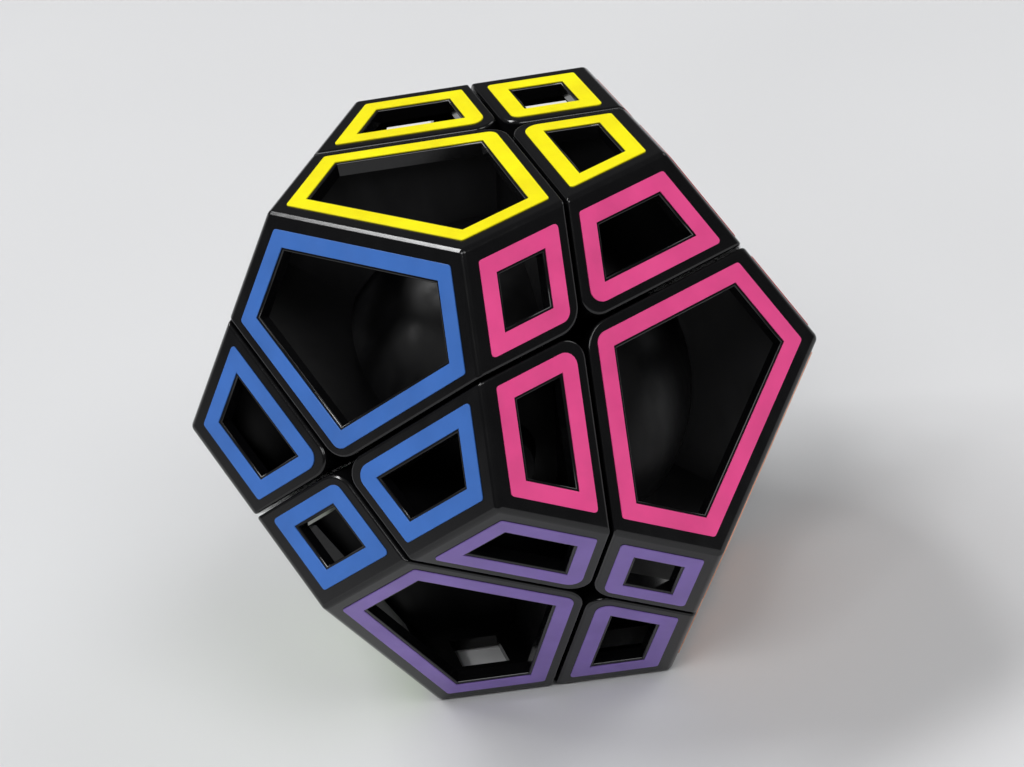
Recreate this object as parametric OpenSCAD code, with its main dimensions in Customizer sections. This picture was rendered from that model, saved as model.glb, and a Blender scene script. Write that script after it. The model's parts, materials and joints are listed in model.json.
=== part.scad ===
// Dodecahedron twisty puzzle with hollow, framed pieces.
// Four cuts through the middle part it into 4 fixed corners, 4 floating
// corners and 6 centre pieces around one core. It stands on one flat face,
// with the origin at its middle.

/* [Body] */
// Distance between opposite faces, over the coloured frames
across_faces = 70; // [68:1:80]
// Width of the gap between neighbouring pieces
piece_gap = 0.4; // [0.3:0.05:0.6]
// Thickness of the walls behind the faces
face_wall = 1.8; // [1.4:0.1:2.2]
// Thickness of the walls beside the cuts
cut_wall = 1.4; // [1.2:0.1:1.8]
// Rounding of a corner piece where two cuts cross
corner_edge_r = 2.4; // [1.5:0.1:3]
// Rounding of a centre piece where two cuts cross
centre_edge_r = 4; // [2:0.1:5]

/* [Coloured frames] */
// Thickness of a coloured frame
frame_thick = 0.15; // [0.1:0.05:0.3]
// Width of a coloured frame's band
frame_width = 2.15; // [1.6:0.05:2.6]
// Black margin between a face's edge and the frame
edge_margin = 2; // [1.5:0.1:2.5]
// Distance from the middle of a cut to the frame
cut_margin = 1.6; // [1.2:0.1:2]
// Black rim between the frame and its window
window_rim = 0.4; // [0.2:0.1:0.8]
// Rounding of the frame where two cuts cross
frame_cut_r = 1.6; // [0.8:0.1:2]
// Rounding of the frame's other outer corners
frame_edge_r = 0.45; // [0.2:0.05:0.8]

/* [Mechanism] */
// Radius of the core's ball
core_r = 11.6; // [9:0.1:11.7]
// Radius of the core's arms
arm_r = 1.95; // [1.7:0.05:1.95]
// Half-angle of a fixed corner's flange
flange_angle = 30; // [26:1:30]
// Half-angle of a floating corner's foot
foot_angle = 28; // [25:1:28]
// Radius of a floating corner's neck
floating_neck_r = 2.4; // [2:0.1:2.5]
// Radius of a centre piece's neck
centre_neck_r = 6.5; // [4:0.1:7]
// Radius of the core's screws
screw_r = 1.2; // [1:0.05:1.3]
// Radius of a spring's wire
wire_r = 0.25; // [0.2:0.01:0.3]

/* [Hidden] */
$fn = 96;
phi = (1 + sqrt(5)) / 2;
half_gap = piece_gap / 2;
shell_r = across_faces / 2 - frame_thick;
// Farther from the middle than any part of the puzzle
reach = 60;
// How far a cutting shape runs past what it cuts
overlap = 1;
// How far the cutter of a rounding runs past the cuts beside it
sliver = 0.3;
// Turn of a ball's seam that keeps it off the cuts
seam_turn = 20;
// Steps of the arcs: a frame's corners at a crossing and elsewhere, a piece's
// rounding where two cuts cross, and one turn of a spring
crossing_arc_steps = 6;
corner_arc_steps = 3;
rounding_steps = 8;
turn_steps = 12;

// Nested spherical layers of the mechanism, from the core outwards
foot_layer = [12, 15];
wing_layer = [15.4, 18.4];
flange_layer = [18.8, 21.8];
dome_layer = [22.2, 24.2];
arm_end = wing_layer[1];
bore_r = screw_r + 0.08;
screw_tip = 9;

// The well for a fixed corner's spring, washer and screw head
well_r = 2.9;
well_wall = 1;
well_floor = 21.9;
well_top = 29.5;

// Where the necks of the three kinds of base start, and where they all end
corner_neck_r = 6;
corner_neck_root = 20.5;
floating_neck_root = 14;
centre_neck_root = 16.6;
neck_top = 22.7;

// Screw head with its cross slot, washer and spring
head_r = 2.3;
head_height = 1.7;
slot_width = 0.7;
slot_length = 3;
slot_depth = 0.8;
washer_r = 2.5;
washer_thick = 0.4;
washer_floor = 25.9;
head_floor = washer_floor + washer_thick;
spring_r = 2.1;
spring_turns = 4;
spring_gap = 0.05;
wire_sides = 6;

// Directions: the four screw axes, the six centres, the twelve faces and the
// twelve lines where two cuts cross
AXES = [[1, 1, 1], [1, -1, -1], [-1, 1, -1], [-1, -1, 1]];
CENTRES = [[1, 0, 0], [-1, 0, 0], [0, 1, 0], [0, -1, 0], [0, 0, 1], [0, 0, -1]];
FIRST_CENTRE = CENTRES[4];
FACES = [for (s = [1, -1], t = [1, -1])
    each [[s, 0, t * phi], [s * phi, t, 0], [0, s * phi, t]]];
CROSSINGS = [for (s = [1, -1], t = [1, -1]) each [[s, t, 0], [s, 0, t], [0, s, t]]];

// Colours of the twelve faces, in the order of FACES
BLACK = [0.03, 0.03, 0.035];
COLOURS = [
    [1, 0.92, 0], [0.95, 0.45, 0.1], [0.35, 0.75, 0.9],
    [0.95, 0.95, 0.92], [0.85, 0.1, 0.15], [0.05, 0.45, 0.25],
    [0.25, 0.42, 0.75], [0.55, 0.8, 0.2], [0.93, 0.3, 0.58],
    [0.6, 0.6, 0.62], [0.43, 0.35, 0.63], [0.95, 0.7, 0.6]];

// The regions that the two cuts make on a face, each as its sides in order.
// A side is its normal's angle and which line it lies on: 0 an edge of the
// face, 1 or -1 a cut seen from inside or from beyond it.
LARGE = [[18, 0], [90, 0], [162, 0], [234, 1], [306, 1]];
MEDIUM_RIGHT = [[18, 0], [126, -1], [234, 1], [306, 0]];
MEDIUM_LEFT = [[54, -1], [162, 0], [234, 0], [306, 1]];
SMALL = [[54, -1], [126, -1], [234, 0], [306, 0]];

function unit(v) = v / norm(v);
function is_corner(v) = norm(v) > 1;

// Faces, cut normals and crossings that bound the piece in direction v
function faces_of(v) = [for (i = [0:11]) if (v * FACES[i] >= 1) i];
function cuts_of(v) = [for (a = AXES) if (abs(v * a) == 1) sign(v * a) * a];
function crossings_of(v) = [for (c = CROSSINGS) if (v * c > 0) c];

// A face's own axes: up runs from its small region to its large one
function crossing_on(n) = [for (c = n) sign(c)];
function face_up(n) = unit(n * (crossing_on(n) * n) / (n * n) - crossing_on(n));
function face_side(n) = cross(face_up(n), unit(n));
function region(v, n) =
    is_corner(v) ? (v * face_side(n) > 0 ? MEDIUM_RIGHT : MEDIUM_LEFT)
    : (v * n > 1 ? LARGE : SMALL);

// Where two lines cross, each given by its normal's angle and its distance
function meet(a, d, b, e) =
    [d * sin(b) - e * sin(a), e * cos(a) - d * cos(b)] / sin(b - a);
function inset(side, edge_in, cut_in) =
    side[1] == 0 ? shell_r / phi - edge_in
    : side[1] * shell_r / (2 * phi * phi) - cut_in;

// Outline of a region, inset from its edges and cuts, with rounded corners
function outline(sides, edge_in, cut_in, edge_r = 0, cut_r = 0) =
    [for (i = [0:len(sides) - 1])
        let (
            a = sides[i],
            b = sides[(i + 1) % len(sides)],
            at_crossing = a[1] != 0 && b[1] != 0,
            r = at_crossing ? cut_r : edge_r,
            turn = (b[0] - a[0] + 360) % 360,
            middle = meet(a[0], inset(a, edge_in, cut_in) - r,
                b[0], inset(b, edge_in, cut_in) - r),
            steps = r == 0 ? 0 : (at_crossing ? crossing_arc_steps : corner_arc_steps))
        for (k = [0:steps])
            let (angle = a[0] + turn * k / max(steps, 1))
            middle + r * [cos(angle), sin(angle)]];

// Turns a shape made along +Z to direction v
module toward(v) {
    rotate([0, acos(v.z / norm(v)), atan2(v.y, v.x)])
        children();
}

// Stands the puzzle on one face
module stand() {
    rotate([0, 0, 90])
        rotate([0, -atan(1 / phi), 0])
            children();
}

// Turns a piece made on the first screw axis to axis number i
module corner_place(i) {
    rotate(i == 0 ? 0 : 180, [i == 1 ? 1 : 0, i == 2 ? 1 : 0, i == 3 ? 1 : 0])
        children();
}

// Turns a centre piece made on +Z to centre number i
module centre_place(i) {
    rotate([120, 240, 0][floor(i / 2)], [1, 1, 1])
        rotate([i % 2 == 0 ? 0 : 180, 0, 0])
            children();
}

// Turns a shape made in a face's own axes to the face with normal n
module on_face(n) {
    x = face_side(n);
    y = face_up(n);
    z = unit(n);
    multmatrix([
        [x.x, y.x, z.x, 0],
        [x.y, y.y, z.y, 0],
        [x.z, y.z, z.z, 0],
        [0, 0, 0, 1]])
        children();
}

// All that lies beyond a distance in direction n
module half_space(n, distance) {
    toward(n)
        translate([-reach, -reach, distance])
            cube(2 * reach);
}

// A dodecahedron with its faces at distance r
module dodecahedron(r) {
    intersection_for (i = [0:5])
        toward(FACES[i])
            cube([2 * reach, 2 * reach, 2 * r], center = true);
}

// The space between the cuts around direction v
module wedge(v, gap) {
    intersection_for (n = cuts_of(v))
        half_space(n, gap);
}

// A ball whose seam lies on the far side from direction v
module ball(v, r) {
    toward(v)
        rotate([0, 90, seam_turn])
            sphere(r);
}

// The space between two balls
module layer(v, radii) {
    difference() {
        ball(v, radii[1]);
        ball(v, radii[0]);
    }
}

// A cone that widens from the middle outwards
module cone(angle) {
    cylinder(h = reach, r1 = 0, r2 = reach * tan(angle));
}

// What is cut away to round a piece where two cuts cross
module crossing_cutter(v, c) {
    along = unit(c);
    inward = unit(v - (v * along) * along);
    across = cross(along, inward);
    half_angle = is_corner(v) ? asin(1 / sqrt(3)) : acos(1 / sqrt(3));
    r = is_corner(v) ? corner_edge_r : centre_edge_r;
    middle = [(half_gap + r) / sin(half_angle), 0];
    arc = [for (k = [0:rounding_steps])
        let (angle = 90 + half_angle + (180 - 2 * half_angle) * k / rounding_steps)
        [cos(angle), sin(angle)]];
    multmatrix([
        [inward.x, across.x, along.x, 0],
        [inward.y, across.y, along.y, 0],
        [inward.z, across.z, along.z, 0],
        [0, 0, 0, 1]])
        linear_extrude(reach)
            polygon(concat(
                [[-overlap, 0], middle + (r + sliver) * arc[0]],
                [for (p = arc) middle + r * p],
                [middle + (r + sliver) * arc[rounding_steps]]));
}

// The hollow outer part of a piece, with a window in each face
module shell(v) {
    color(BLACK)
    difference() {
        intersection() {
            dodecahedron(shell_r);
            wedge(v, half_gap);
        }
        ball(v, dome_layer[1]);
        intersection() {
            dodecahedron(shell_r - face_wall);
            wedge(v, half_gap + cut_wall);
        }
        for (i = faces_of(v))
            on_face(FACES[i])
                translate([0, 0, shell_r - face_wall - overlap])
                    linear_extrude(face_wall + 2 * overlap)
                        polygon(outline(region(v, FACES[i]),
                            edge_margin + frame_width + window_rim,
                            cut_margin + frame_width + window_rim));
        for (c = crossings_of(v))
            crossing_cutter(v, c);
    }
}

// The domed floor under a shell
module dome(v) {
    difference() {
        intersection() {
            layer(v, dome_layer);
            wedge(v, half_gap);
        }
        for (c = crossings_of(v))
            crossing_cutter(v, c);
    }
}

// Floor, neck and flange of a fixed corner, with the well for its spring
module corner_base(v) {
    color(BLACK)
    difference() {
        union() {
            dome(v);
            intersection() {
                layer(v, flange_layer);
                toward(v)
                    cone(flange_angle);
            }
            toward(v) {
                translate([0, 0, corner_neck_root])
                    cylinder(h = neck_top - corner_neck_root, r = corner_neck_r);
                translate([0, 0, neck_top])
                    cylinder(h = well_top - neck_top, r = well_r + well_wall);
            }
        }
        toward(v) {
            translate([0, 0, well_floor])
                cylinder(h = reach, r = well_r);
            translate([0, 0, arm_end])
                cylinder(h = reach, r = bore_r);
        }
    }
}

// Floor, neck and foot of a floating corner
module floating_base(v) {
    color(BLACK)
    union() {
        dome(v);
        intersection() {
            layer(v, foot_layer);
            toward(v)
                cone(foot_angle);
        }
        toward(v)
            translate([0, 0, floating_neck_root])
                cylinder(h = neck_top - floating_neck_root, r = floating_neck_r);
    }
}

// Floor, neck and wings of a centre piece
module centre_base(v) {
    color(BLACK)
    union() {
        dome(v);
        intersection() {
            layer(v, wing_layer);
            wedge(v, half_gap);
        }
        toward(v)
            translate([0, 0, centre_neck_root])
                cylinder(h = neck_top - centre_neck_root, r = centre_neck_r);
    }
}

// The coloured frames on a piece's faces
module frames(v) {
    for (i = faces_of(v))
        color(COLOURS[i])
        on_face(FACES[i])
            translate([0, 0, shell_r])
                linear_extrude(frame_thick)
                    difference() {
                        polygon(outline(region(v, FACES[i]), edge_margin, cut_margin,
                            frame_edge_r, frame_cut_r));
                        polygon(outline(region(v, FACES[i]),
                            edge_margin + frame_width, cut_margin + frame_width));
                    }
}

// Ball with four arms, drilled for the screws
module core() {
    color("dimgray")
    difference() {
        union() {
            sphere(core_r);
            for (a = AXES)
                toward(a)
                    cylinder(h = arm_end, r = arm_r);
        }
        for (a = AXES)
            toward(a)
                translate([0, 0, screw_tip])
                    cylinder(h = reach, r = screw_r);
    }
}

// A cross-slot screw that holds a fixed corner on the core
module screw(v) {
    color("silver")
    toward(v)
        difference() {
            union() {
                translate([0, 0, screw_tip])
                    cylinder(h = head_floor - screw_tip, r = screw_r);
                translate([0, 0, head_floor])
                    cylinder(h = head_height, r = head_r);
            }
            translate([0, 0, head_floor + head_height])
                for (turn = [0, 90])
                    rotate([0, 0, turn])
                        cube([slot_length, slot_width, 2 * slot_depth], center = true);
        }
}

// The ring between a screw's head and its spring
module washer(v) {
    color("gainsboro")
    toward(v)
        translate([0, 0, washer_floor])
            difference() {
                cylinder(h = washer_thick, r = washer_r);
                translate([0, 0, -overlap])
                    cylinder(h = washer_thick + 2 * overlap, r = bore_r);
            }
}

// A helix of round wire from the well's floor to the washer
module spring(v) {
    rings = spring_turns * turn_steps;
    low = well_floor + wire_r + spring_gap;
    rise = (washer_floor - wire_r - spring_gap - low) / rings;
    points = [for (i = [0:rings], k = [0:wire_sides - 1])
        let (
            turn = 360 * i / turn_steps,
            side = 360 * k / wire_sides,
            out = spring_r + wire_r * cos(side))
        [out * cos(turn), out * sin(turn), low + rise * i + wire_r * sin(side)]];
    last = rings * wire_sides;
    walls = [for (i = [0:rings - 1], k = [0:wire_sides - 1])
        let (
            a = i * wire_sides + k,
            b = i * wire_sides + (k + 1) % wire_sides)
        [a, a + wire_sides, b + wire_sides, b]];
    ends = [
        [for (k = [0:wire_sides - 1]) k],
        [for (k = [wire_sides - 1:-1:0]) last + k]];
    color("silver")
    toward(v)
        polyhedron(points, concat(walls, ends));
}

stand() core();
for (i = [0:3]) {
    letter = "abcd"[i];
    axis = AXES[i];
    stand() screw(axis);
    stand() spring(axis);
    stand() washer(axis);
    stand() corner_place(i) shell(AXES[0]);
    stand() corner_place(i) corner_base(AXES[0]);
    stand() frames(axis);
    stand() corner_place(i) shell(-AXES[0]);
    stand() corner_place(i) floating_base(-AXES[0]);
    stand() frames(-axis);
}
for (i = [0:5]) {
    stand() centre_place(i) shell(FIRST_CENTRE);
    stand() centre_place(i) centre_base(FIRST_CENTRE);
    stand() frames(CENTRES[i]);
}
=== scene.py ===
"""Looks of the dodecahedron twisty puzzle: rounded glossy shells, 48 coloured
frames, the mechanism inside, a pale floor and soft studio light."""

import json
import math

import bmesh
import bpy
from mathutils import Matrix, Vector

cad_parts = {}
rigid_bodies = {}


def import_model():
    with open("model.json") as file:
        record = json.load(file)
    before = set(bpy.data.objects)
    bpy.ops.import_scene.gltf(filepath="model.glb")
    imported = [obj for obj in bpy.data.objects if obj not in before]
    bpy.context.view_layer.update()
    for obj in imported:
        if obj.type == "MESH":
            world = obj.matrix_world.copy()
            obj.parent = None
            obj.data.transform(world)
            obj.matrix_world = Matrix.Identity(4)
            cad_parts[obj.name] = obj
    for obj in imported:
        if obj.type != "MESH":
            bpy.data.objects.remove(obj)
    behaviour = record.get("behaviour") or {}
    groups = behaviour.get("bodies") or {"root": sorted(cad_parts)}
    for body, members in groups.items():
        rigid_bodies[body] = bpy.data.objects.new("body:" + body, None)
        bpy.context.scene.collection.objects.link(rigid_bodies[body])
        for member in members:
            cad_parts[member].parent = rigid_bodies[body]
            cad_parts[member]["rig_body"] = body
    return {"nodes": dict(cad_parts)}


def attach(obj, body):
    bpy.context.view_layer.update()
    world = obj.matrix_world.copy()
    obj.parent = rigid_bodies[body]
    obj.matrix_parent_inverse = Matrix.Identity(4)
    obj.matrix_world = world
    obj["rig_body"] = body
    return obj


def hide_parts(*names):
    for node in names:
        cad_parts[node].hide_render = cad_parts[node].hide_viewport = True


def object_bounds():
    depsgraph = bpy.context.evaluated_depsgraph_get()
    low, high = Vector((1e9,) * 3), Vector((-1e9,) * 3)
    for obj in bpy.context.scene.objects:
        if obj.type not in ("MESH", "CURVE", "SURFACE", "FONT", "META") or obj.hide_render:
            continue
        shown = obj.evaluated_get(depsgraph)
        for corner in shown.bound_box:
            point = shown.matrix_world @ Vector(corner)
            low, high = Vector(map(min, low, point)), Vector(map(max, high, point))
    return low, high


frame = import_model()
cad_low, cad_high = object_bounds()

# ---------------------------------------------------------------- sizes, in metres
MM = 0.001
PHI = (1 + math.sqrt(5)) / 2
# From the middle to the faces, over the frames and over the shells
HALF_HEIGHT = cad_high.z
FRAME_THICK = 0.15 * MM
SHELL_R = HALF_HEIGHT - FRAME_THICK
FACE_WALL = 1.8 * MM
# Half the side of the cube inside the dodecahedron
CUBE_UNIT = HALF_HEIGHT / math.sqrt((5 + 2 * math.sqrt(5)) / 5)
# Every window lies farther than this from its face's edges and cuts
WINDOW_CLEAR = 3 * MM
# A piece's sides lie nearer to their cut than this, and its hollow's walls farther
SIDE_CLEAR = 1 * MM
# Half the width of the floor
FLOOR_HALF = 3.0
# Rounding of the edges between faces, beside the cuts, of the windows and of the frames
EDGE_ROUND = 0.60 * MM
CUT_ROUND = 0.40 * MM
WINDOW_ROUND = 0.18 * MM
FRAME_ROUND = 0.05 * MM
SHELL_STEPS = 4
FRAME_STEPS = 2
# What counts as one point, one plane, one direction (as a cosine), flat and sharp
WELD = 0.002 * MM
ON_PLANE = 0.05 * MM
ALIGNED = 0.999
FLAT = math.radians(0.5)
SHARP = math.radians(30)

# ---------------------------------------------------------------- faces and cuts
# From the cube inside the dodecahedron to the way the puzzle stands: +Z leaves the
# yellow face and the blue face looks along -Y
LEAN = math.atan(1 / PHI)
STAND = Matrix.Rotation(math.radians(90), 3, "Z") @ Matrix.Rotation(-LEAN, 3, "Y")
# Sine of the angle between neighbouring faces' normals
FACE_TURN_SINE = 2 / math.sqrt(5)

# Normals in the axes of that cube
FACE_AXES = {
    "yellow": (1, 0, PHI), "orange": (PHI, 1, 0), "sky_blue": (0, PHI, 1),
    "white": (1, 0, -PHI), "red": (PHI, -1, 0), "green": (0, PHI, -1),
    "blue": (-1, 0, PHI), "lime": (-PHI, 1, 0), "pink": (0, -PHI, 1),
    "grey": (-1, 0, -PHI), "purple": (-PHI, -1, 0), "peach": (0, -PHI, -1),
}
FACE_NORMALS = {name: (STAND @ Vector(v)).normalized() for name, v in FACE_AXES.items()}
CUT_AXES = [(1, 1, 1), (1, -1, -1), (-1, 1, -1), (-1, -1, 1)]
CUT_NORMALS = [(STAND @ Vector(v)).normalized() for v in CUT_AXES]

# Each face's frames
COLOURS = {
    "yellow": (1.0, 0.86, 0.0), "orange": (0.93, 0.22, 0.01),
    "sky_blue": (0.12, 0.50, 0.78), "white": (0.80, 0.80, 0.78),
    "red": (0.58, 0.01, 0.02), "green": (0.005, 0.16, 0.06),
    "blue": (0.040, 0.145, 0.48), "lime": (0.27, 0.58, 0.03),
    "pink": (0.88, 0.075, 0.29), "grey": (0.25, 0.26, 0.28),
    "purple": (0.23, 0.15, 0.46), "peach": (0.88, 0.42, 0.26),
}


# ---------------------------------------------------------------- materials
def new_material(name):
    """A material, its nodes and the shader among them."""
    material = bpy.data.materials.new(name)
    material.use_nodes = True
    tree = material.node_tree
    return material, tree, tree.nodes["Principled BSDF"]


def add(tree, kind, **inputs):
    """A new node; an input's name has _ for each space."""
    node = tree.nodes.new(kind)
    for name, value in inputs.items():
        node.inputs[name.replace("_", " ")].default_value = value
    return node


def noise(tree, scale, detail, stretch=(1, 1, 1)):
    """A cloudy noise in the object's own axes; a larger scale is finer."""
    place = add(tree, "ShaderNodeTexCoord")
    mapping = add(tree, "ShaderNodeMapping", Scale=stretch)
    texture = add(tree, "ShaderNodeTexNoise", Scale=scale, Detail=detail)
    tree.links.new(place.outputs["Object"], mapping.inputs["Vector"])
    tree.links.new(mapping.outputs["Vector"], texture.inputs["Vector"])
    return texture.outputs["Fac"]


# Nearly all of a noise's values lie between these two
NOISE_LOW = 0.3
NOISE_HIGH = 0.7


def spread(tree, value, low, high):
    """Stretches a noise to run from low to high."""
    ramp = add(tree, "ShaderNodeMapRange", From_Min=NOISE_LOW, From_Max=NOISE_HIGH,
               To_Min=low, To_Max=high)
    tree.links.new(value, ramp.inputs["Value"])
    return ramp.outputs["Result"]


def tint(tree, value, dark, light):
    """Turns a noise into a colour between dark and light."""
    node = add(tree, "ShaderNodeValToRGB")
    for element, position, colour in zip(node.color_ramp.elements,
                                         (NOISE_LOW, NOISE_HIGH), (dark, light)):
        element.position = position
        element.color = (*colour, 1)
    tree.links.new(value, node.inputs["Fac"])
    return node.outputs["Color"]


def bump(tree, height, depth, under=None):
    """A surface raised by a noise, on top of the one under it."""
    node = add(tree, "ShaderNodeBump", Strength=1.0, Distance=depth)
    tree.links.new(height, node.inputs["Height"])
    if under:
        tree.links.new(under, node.inputs["Normal"])
    return node.outputs["Normal"]


def plastic(name, colour, roughness, wave_depth, grain_depth=0.0, ior=1.5):
    """Moulded plastic: nearly even colour, uneven gloss and a faint waviness."""
    material, tree, shader = new_material(name)
    dark = [0.90 * c for c in colour]
    light = [min(1.0, 1.08 * c) for c in colour]
    clouds = tint(tree, noise(tree, scale=160, detail=4), dark, light)
    smears = noise(tree, scale=420, detail=5, stretch=(1, 1, 0.35))
    gloss = spread(tree, smears, 0.8 * roughness, 1.25 * roughness)
    surface = bump(tree, noise(tree, scale=110, detail=1), wave_depth)
    if grain_depth:
        surface = bump(tree, noise(tree, scale=5200, detail=2), grain_depth, surface)
    tree.links.new(clouds, shader.inputs["Base Color"])
    tree.links.new(gloss, shader.inputs["Roughness"])
    tree.links.new(surface, shader.inputs["Normal"])
    shader.inputs["IOR"].default_value = ior
    return material


def metal(name, colour, roughness):
    """Plated metal with fine streaks in its colour and its gloss."""
    material, tree, shader = new_material(name)
    marks = noise(tree, scale=900, detail=4, stretch=(1, 1, 0.2))
    dark = [0.8 * c for c in colour]
    tree.links.new(tint(tree, marks, dark, colour), shader.inputs["Base Color"])
    tree.links.new(spread(tree, marks, 0.7 * roughness, 1.4 * roughness),
                   shader.inputs["Roughness"])
    tree.links.new(bump(tree, marks, 0.004 * MM), shader.inputs["Normal"])
    shader.inputs["Metallic"].default_value = 1.0
    return material


BLACK = plastic("black_gloss_plastic", (0.0028, 0.0028, 0.0032), roughness=0.15,
                wave_depth=0.004 * MM, ior=1.46)
# Inside plastic: its higher roughness is the duller finish of moulded insides, while its
# darker colour and lower IOR than the outer black are painted shade for the hollow and the
# bases in it.
INNER_PAINTED_SHADE = plastic("inner_black_plastic_painted_shade", (0.0024, 0.0024, 0.0028), roughness=0.42,
                wave_depth=0.002 * MM, grain_depth=0.001 * MM, ior=1.26)
CORE = plastic("core_grey_nylon", (0.10, 0.10, 0.11), roughness=0.5,
               wave_depth=0.01 * MM, grain_depth=0.003 * MM)
STEEL = metal("zinc_plated_steel", (0.75, 0.75, 0.74), roughness=0.25)
FRAME_MATERIALS = {
    name: plastic("frame_" + name, colour, roughness=0.42, wave_depth=0.004 * MM,
                  grain_depth=0.0012 * MM, ior=1.4)
    for name, colour in COLOURS.items()}


# ---------------------------------------------------------------- reading the CAD mesh
def joined_copy(node):
    """The node's mesh with its vertices welded and its flat faces whole."""
    bm = bmesh.new()
    bm.from_mesh(node.data)
    bmesh.ops.remove_doubles(bm, verts=bm.verts, dist=WELD)
    bmesh.ops.dissolve_limit(bm, angle_limit=FLAT, verts=bm.verts, edges=bm.edges,
                             delimit={"NORMAL"})
    bm.normal_update()
    return bm


def puzzle_face(face, distance):
    """The name of the puzzle face that a mesh face lies on, or None."""
    point = face.verts[0].co
    for name, axis in FACE_NORMALS.items():
        if face.normal.dot(axis) > ALIGNED and abs(point.dot(axis) - distance) < ON_PLANE:
            return name
    return None


def is_turned(edge):
    """Whether the two faces at an edge meet at an angle."""
    return len(edge.link_faces) == 2 and edge.calc_face_angle() > SHARP


def on_window(edge, own_name):
    """Whether an edge of an outer face bounds its window and not the piece."""
    point = (edge.verts[0].co + edge.verts[1].co) / 2
    clear_of_cuts = all(abs(point.dot(cut)) > WINDOW_CLEAR for cut in CUT_NORMALS)
    clear_of_edges = all(
        point.dot(axis) < SHELL_R - FACE_TURN_SINE * WINDOW_CLEAR
        for name, axis in FACE_NORMALS.items() if name != own_name)
    return clear_of_cuts and clear_of_edges


def shell_edge_round(edge):
    """How far back an edge of a shell is rounded, or 0 where it stays sharp."""
    names = [puzzle_face(face, SHELL_R) for face in edge.link_faces]
    outer = [name for name in names if name]
    if not is_turned(edge) or not outer:
        return 0
    if len(outer) == 2:
        return EDGE_ROUND
    return WINDOW_ROUND if on_window(edge, outer[0]) else CUT_ROUND


def frame_edge_round(edge):
    """How far back an edge of a frame is rounded: only those of its top are."""
    on_top = any(puzzle_face(face, HALF_HEIGHT) for face in edge.link_faces)
    return FRAME_ROUND if on_top and is_turned(edge) else 0


def is_hollow_wall(face):
    """Whether a face of a shell is a wall of its hollow."""
    point = face.verts[0].co
    behind = any(
        face.normal.dot(axis) < -ALIGNED
        and abs(point.dot(axis) - SHELL_R + FACE_WALL) < ON_PLANE
        for axis in FACE_NORMALS.values())
    beside = any(
        abs(face.normal.dot(cut)) > ALIGNED and abs(point.dot(cut)) > SIDE_CLEAR
        for cut in CUT_NORMALS)
    return behind or beside


def is_window_wall(face):
    """Whether a face of a shell is a side of a window."""
    return (puzzle_face(face, SHELL_R) is None
            and any(shell_edge_round(edge) == WINDOW_ROUND for edge in face.edges))


# ---------------------------------------------------------------- pieces
def mark_rounding(bm, width, size_of):
    """Gives each edge its share of the rounding width, and keeps other edges sharp."""
    weights = bm.edges.layers.float.new("bevel_weight_edge")
    for edge in bm.edges:
        size = size_of(edge)
        edge[weights] = size / width
        edge.smooth = size > 0 or not is_turned(edge)


def rounded_piece(bm, name, materials, node, width, steps):
    """A new piece that takes the place of a CAD node, rides on the node's body and
    has its marked edges rounded."""
    mesh = bpy.data.meshes.new(name)
    bm.to_mesh(mesh)
    bm.free()
    for material in materials:
        mesh.materials.append(material)
    piece = bpy.data.objects.new(name, mesh)
    bpy.context.scene.collection.objects.link(piece)
    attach(piece, node["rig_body"])
    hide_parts(node.name)

    rounding = piece.modifiers.new("rounded_edges", "BEVEL")
    rounding.width = width
    rounding.segments = steps
    rounding.limit_method = "WEIGHT"
    rounding.use_clamp_overlap = False
    rounding.loop_slide = False
    normals = piece.modifiers.new("flat_normals", "WEIGHTED_NORMAL")
    normals.keep_sharp = True
    normals.weight = 100


def make_shell(node):
    """A hollow shell: glossy outside and duller inside, its inside also darker and less
    reflective as painted shade, its plain walls kept flat.
    """
    bm = joined_copy(node)
    mark_rounding(bm, EDGE_ROUND, shell_edge_round)
    for face in bm.faces:
        hollow = is_hollow_wall(face)
        face.material_index = 1 if hollow else 0
        face.smooth = not hollow and not is_window_wall(face)
    rounded_piece(bm, node["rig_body"] + "_outer", [BLACK, INNER_PAINTED_SHADE], node,
                  EDGE_ROUND, SHELL_STEPS)


def islands(bm):
    """The separate solids of a mesh, as lists of faces."""
    seen = set()
    for start in bm.faces:
        if start in seen:
            continue
        seen.add(start)
        group = [start]
        for face in group:  # which grows while it is read
            for edge in face.edges:
                for other in edge.link_faces:
                    if other not in seen:
                        seen.add(other)
                        group.append(other)
        yield group


def copy_of(faces):
    """A new mesh with a copy of some faces."""
    bm = bmesh.new()
    made = {}
    for face in faces:
        for vert in face.verts:
            if vert not in made:
                made[vert] = bm.verts.new(vert.co)
        copy = bm.faces.new([made[vert] for vert in face.verts])
        copy.smooth = True
    bm.normal_update()
    return bm


def make_frames(node):
    """The coloured frames of one piece, each as a piece of its own."""
    whole = joined_copy(node)
    for group in islands(whole):
        colour = next(name for name in (puzzle_face(f, HALF_HEIGHT) for f in group) if name)
        bm = copy_of(group)
        mark_rounding(bm, FRAME_ROUND, frame_edge_round)
        rounded_piece(bm, f"{node['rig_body']}_frame_{colour}", [FRAME_MATERIALS[colour]],
                      node, FRAME_ROUND, FRAME_STEPS)
    whole.free()


def use_material(node, material):
    """Gives a CAD node that stays its material."""
    node.data.materials.clear()
    node.data.materials.append(material)


for name, node in frame["nodes"].items():
    if name.endswith("_shell"):
        make_shell(node)
    elif name.endswith("_frames"):
        make_frames(node)
    elif name.endswith("_base"):
        use_material(node, INNER_PAINTED_SHADE)
    elif name == "core":
        use_material(node, CORE)
    else:
        use_material(node, STEEL)


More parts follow.
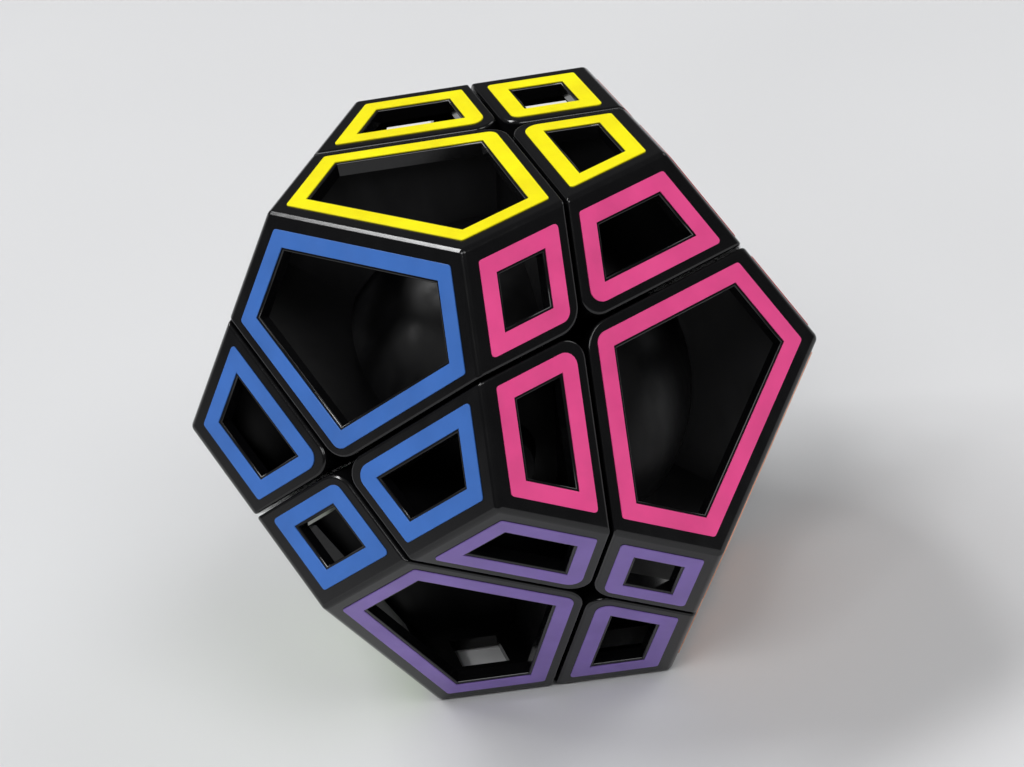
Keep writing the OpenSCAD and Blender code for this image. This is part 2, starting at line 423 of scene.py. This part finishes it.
# ---------------------------------------------------------------- floor and light
def make_floor():
    """A pale plane that the puzzle stands on."""
    corners = [(FLOOR_HALF * x, FLOOR_HALF * y, cad_low.z)
               for x, y in ((-1, -1), (1, -1), (1, 1), (-1, 1))]
    mesh = bpy.data.meshes.new("floor")
    mesh.from_pydata(corners, [], [(0, 1, 2, 3)])
    floor = bpy.data.objects.new("floor", mesh)
    bpy.context.scene.collection.objects.link(floor)
    material, tree, shader = new_material("pale_floor")
    clouds = tint(tree, noise(tree, scale=6, detail=2),
                  (0.66, 0.665, 0.675), (0.70, 0.705, 0.715))
    tree.links.new(clouds, shader.inputs["Base Color"])
    shader.inputs["Roughness"].default_value = 0.6
    floor.data.materials.append(material)


def make_sun(name, source, width, strength):
    """An even light from one direction, as broad as a soft box in degrees."""
    data = bpy.data.lights.new(name, "SUN")
    data.angle = math.radians(width)
    data.energy = strength
    light = bpy.data.objects.new(name, data)
    light.rotation_mode = "QUATERNION"
    light.rotation_quaternion = Vector(source).to_track_quat("Z", "Y")
    bpy.context.scene.collection.objects.link(light)


def make_key_strip():
    """A strip of four suns, where the edge between the yellow and blue faces mirrors
    them into the camera."""
    side = -0.578
    outward = math.sqrt(1 - side ** 2)
    for index, turn in enumerate((84, 96, 108, 120)):
        angle = math.radians(turn)
        source = (side, outward * math.cos(angle), outward * math.sin(angle))
        make_sun(f"key_{index}", source, width=10, strength=0.48)


def make_world(stops):
    """Grey surroundings; each stop is the height of a direction, 0 straight down and
    1 straight up, and its light."""
    world = bpy.data.worlds.new("studio")
    world.use_nodes = True
    tree = world.node_tree
    place = add(tree, "ShaderNodeTexCoord")
    split = add(tree, "ShaderNodeSeparateXYZ")
    height = add(tree, "ShaderNodeMapRange", From_Min=-1)
    ramp = add(tree, "ShaderNodeValToRGB")
    tree.links.new(place.outputs["Generated"], split.inputs["Vector"])
    tree.links.new(split.outputs["Z"], height.inputs["Value"])
    tree.links.new(height.outputs["Result"], ramp.inputs["Fac"])
    tree.links.new(ramp.outputs["Color"], tree.nodes["Background"].inputs["Color"])
    elements = ramp.color_ramp.elements
    while len(elements) < len(stops):
        elements.new(1.0)
    for element, (rise, light) in zip(elements, stops):
        element.position = rise
        element.color = (light, light, 1.02 * light, 1)
    bpy.context.scene.world = world


# ---------------------------------------------------------------- camera
def make_camera():
    """At the photograph's viewing angle: its place and its roll, aimed at the puzzle."""
    place = Vector((8.096, -8.976, 7.065)) * CUBE_UNIT
    back = place.normalized()
    # What is upright in the picture, in the axes of the cube
    upright = STAND @ Vector((0.870, 0.191, 0.454))
    right = upright.cross(back).normalized()
    up = back.cross(right)
    data = bpy.data.cameras.new("camera")
    data.lens = 93.0
    data.sensor_width = 36.0
    data.clip_start = 0.01
    camera = bpy.data.objects.new("camera", data)
    turn = Matrix((right, up, back)).transposed()
    camera.matrix_world = Matrix.Translation(place) @ turn.to_4x4()
    bpy.context.scene.collection.objects.link(camera)
    bpy.context.scene.camera = camera


make_floor()
make_world([(0.5, 0.74), (0.545, 0.74), (0.595, 0.09), (1.0, 0.14)])
make_key_strip()
make_sun("front", (0.15, -0.60, 0.785), width=26, strength=0.85)
make_sun("side", (0.60, -0.10, 0.80), width=30, strength=0.8)
make_sun("back", (0.35, 0.75, 0.55), width=30, strength=0.5)
make_camera()

bpy.context.scene.view_settings.view_transform = "Standard"
